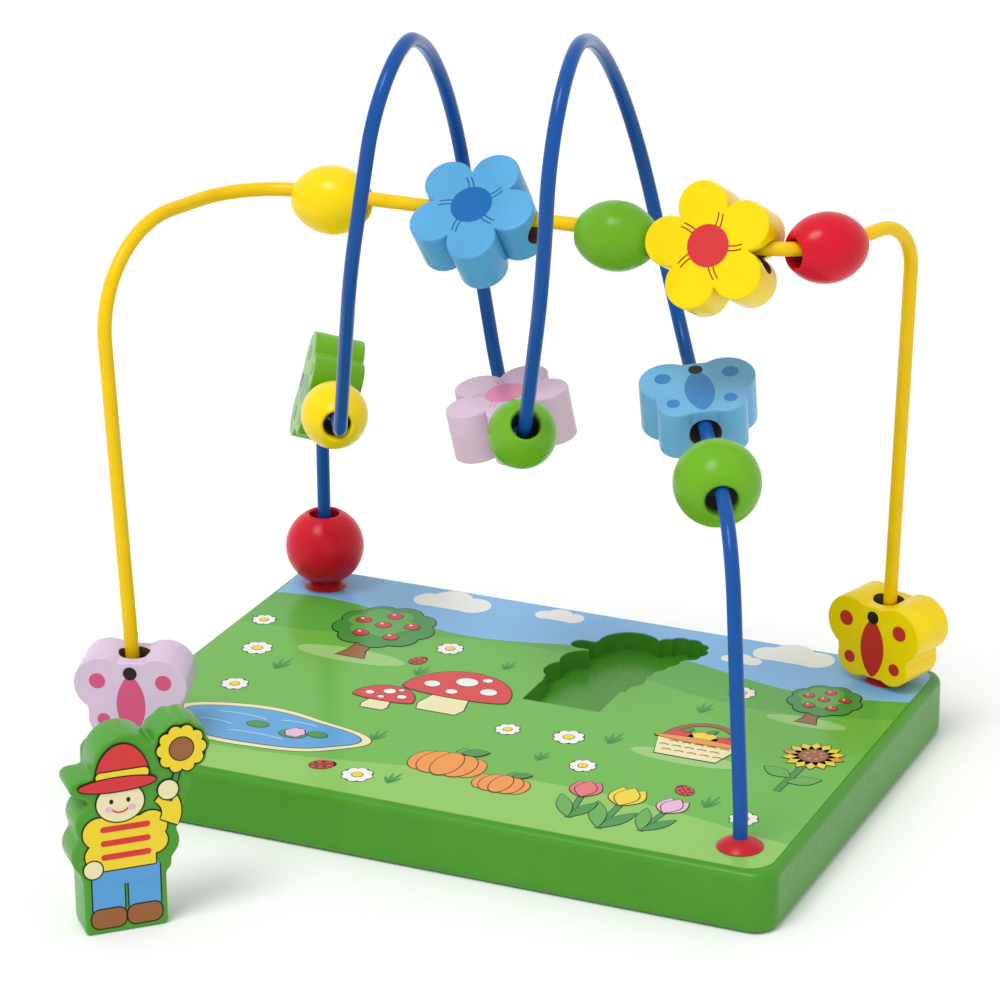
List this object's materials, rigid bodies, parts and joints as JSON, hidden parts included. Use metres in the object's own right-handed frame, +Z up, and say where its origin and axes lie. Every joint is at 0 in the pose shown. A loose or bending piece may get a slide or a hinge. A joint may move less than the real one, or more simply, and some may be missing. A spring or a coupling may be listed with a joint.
{
  "type": "bead maze",
  "caption": "Bead maze: a printed wooden board with bent wires that carry sliding beads, flowers and butterflies, and a loose figure that fits a recess.",
  "frame": {"origin": "middle of the board's underside", "axes": "+X along the board to the right, +Y to the rear, +Z up"},
  "size_m": [0.2174, 0.2201, 0.2231],
  "materials": {
    "board_paint": "green paint, semi-gloss",
    "print_lacquer": "printed sheet under clear lacquer",
    "blue_lacquer": "glossy blue lacquer on steel wire",
    "yellow_lacquer": "glossy yellow lacquer on steel wire",
    "collar_red": "glossy red",
    "bead_red": "glossy red paint",
    "bead_green": "glossy green paint",
    "bead_yellow": "glossy yellow paint",
    "bead_blue": "light blue paint with a darker printed centre",
    "bead_lilac": "pale lilac paint with a rose printed centre",
    "figure_paint": "painted wood with a printed front"
  },
  "bodies": {
    "board": {"base_board": "board_paint", "printed_sheet": "print_lacquer", "blue_wire": "blue_lacquer", "yellow_wire": "yellow_lacquer", "front_left_collar": "collar_red", "front_right_collar": "collar_red", "rear_left_collar": "collar_red", "rear_right_collar": "collar_red"},
    "red_round_bead": {"red_round_bead": "bead_red"},
    "green_butterfly": {"green_butterfly": "bead_green"},
    "small_yellow_bead": {"small_yellow_bead": "bead_yellow"},
    "pink_flower": {"pink_flower": "bead_lilac"},
    "small_green_bead": {"small_green_bead": "bead_green"},
    "blue_butterfly": {"blue_butterfly": "bead_blue"},
    "large_green_bead": {"large_green_bead": "bead_green"},
    "pink_butterfly": {"pink_butterfly": "bead_lilac"},
    "yellow_oval_bead": {"yellow_oval_bead": "bead_yellow"},
    "blue_flower": {"blue_flower": "bead_blue"},
    "green_oval_bead": {"green_oval_bead": "bead_green"},
    "yellow_flower": {"yellow_flower": "bead_yellow"},
    "red_oval_bead": {"red_oval_bead": "bead_red"},
    "yellow_butterfly": {"yellow_butterfly": "bead_yellow"},
    "garden_figure": {"garden_figure": "figure_paint"}
  },
  "joints": [
    {"name": "red_round_bead_slide", "type": "slide", "parent": "board", "child": "red_round_bead", "axis": [0, 0, 1], "range_m": [0, 0.03]},
    {"name": "green_butterfly_swing", "type": "hinge", "parent": "board", "child": "green_butterfly", "pos_m": [-0.07556, 0.034, 0.09422], "axis": [0.5101, -0.8592, 0.0403], "range_deg": [-90, 90]},
    {"name": "small_yellow_bead_slide", "type": "slide", "parent": "board", "child": "small_yellow_bead", "axis": [0.5101, -0.8592, 0.0403], "range_m": [0, 0.007]},
    {"name": "pink_flower_swing", "type": "hinge", "parent": "board", "child": "pink_flower", "pos_m": [-0.00797, 0.01369, 0.1014], "axis": [0.4991, -0.8651, 0.0499], "range_deg": [-90, 90]},
    {"name": "small_green_bead_climb", "type": "hinge", "parent": "board", "child": "small_green_bead", "pos_m": [0.00241, -0.00322, 0.12341], "axis": [-0.8665, -0.4984, 0.0261], "range_deg": [0, 14]},
    {"name": "blue_butterfly_swing", "type": "hinge", "parent": "board", "child": "blue_butterfly", "pos_m": [0.05228, 0.00703, 0.11444], "axis": [0.4681, -0.8733, -0.135], "range_deg": [-90, 90]},
    {"name": "large_green_bead_slide", "type": "slide", "parent": "board", "child": "large_green_bead", "axis": [0.4681, -0.8733, -0.135], "range_m": [-0.013, 0]},
    {"name": "pink_butterfly_slide", "type": "slide", "parent": "board", "child": "pink_butterfly", "axis": [-0.0662, 0.0294, 0.9974], "range_m": [0, 0.08]},
    {"name": "yellow_oval_bead_slide", "type": "slide", "parent": "board", "child": "yellow_oval_bead", "axis": [1, 0, 0], "range_m": [0, 0.011]},
    {"name": "blue_flower_slide", "type": "slide", "parent": "board", "child": "blue_flower", "axis": [1, 0, 0], "range_m": [-0.005, 0.004]},
    {"name": "green_oval_bead_slide", "type": "slide", "parent": "board", "child": "green_oval_bead", "axis": [1, 0, 0], "range_m": [-0.005, 0]},
    {"name": "yellow_flower_swing", "type": "hinge", "parent": "board", "child": "yellow_flower", "pos_m": [0.05757, 0.004, 0.1635], "axis": [1, 0, 0], "range_deg": [0, 120]},
    {"name": "red_oval_bead_turn", "type": "hinge", "parent": "board", "child": "red_oval_bead", "pos_m": [0.06757, 0.028, 0.1635], "axis": [0, 0, 1], "range_deg": [-2, 13]},
    {"name": "yellow_butterfly_slide", "type": "slide", "parent": "board", "child": "yellow_butterfly", "axis": [0.0587, -0.0953, 0.9937], "range_m": [0, 0.08]},
    {"name": "garden_figure_lift", "type": "slide", "parent": "board", "child": "garden_figure", "axis": [0, 0, 1], "range_m": [0, 0.05]}
  ]
}
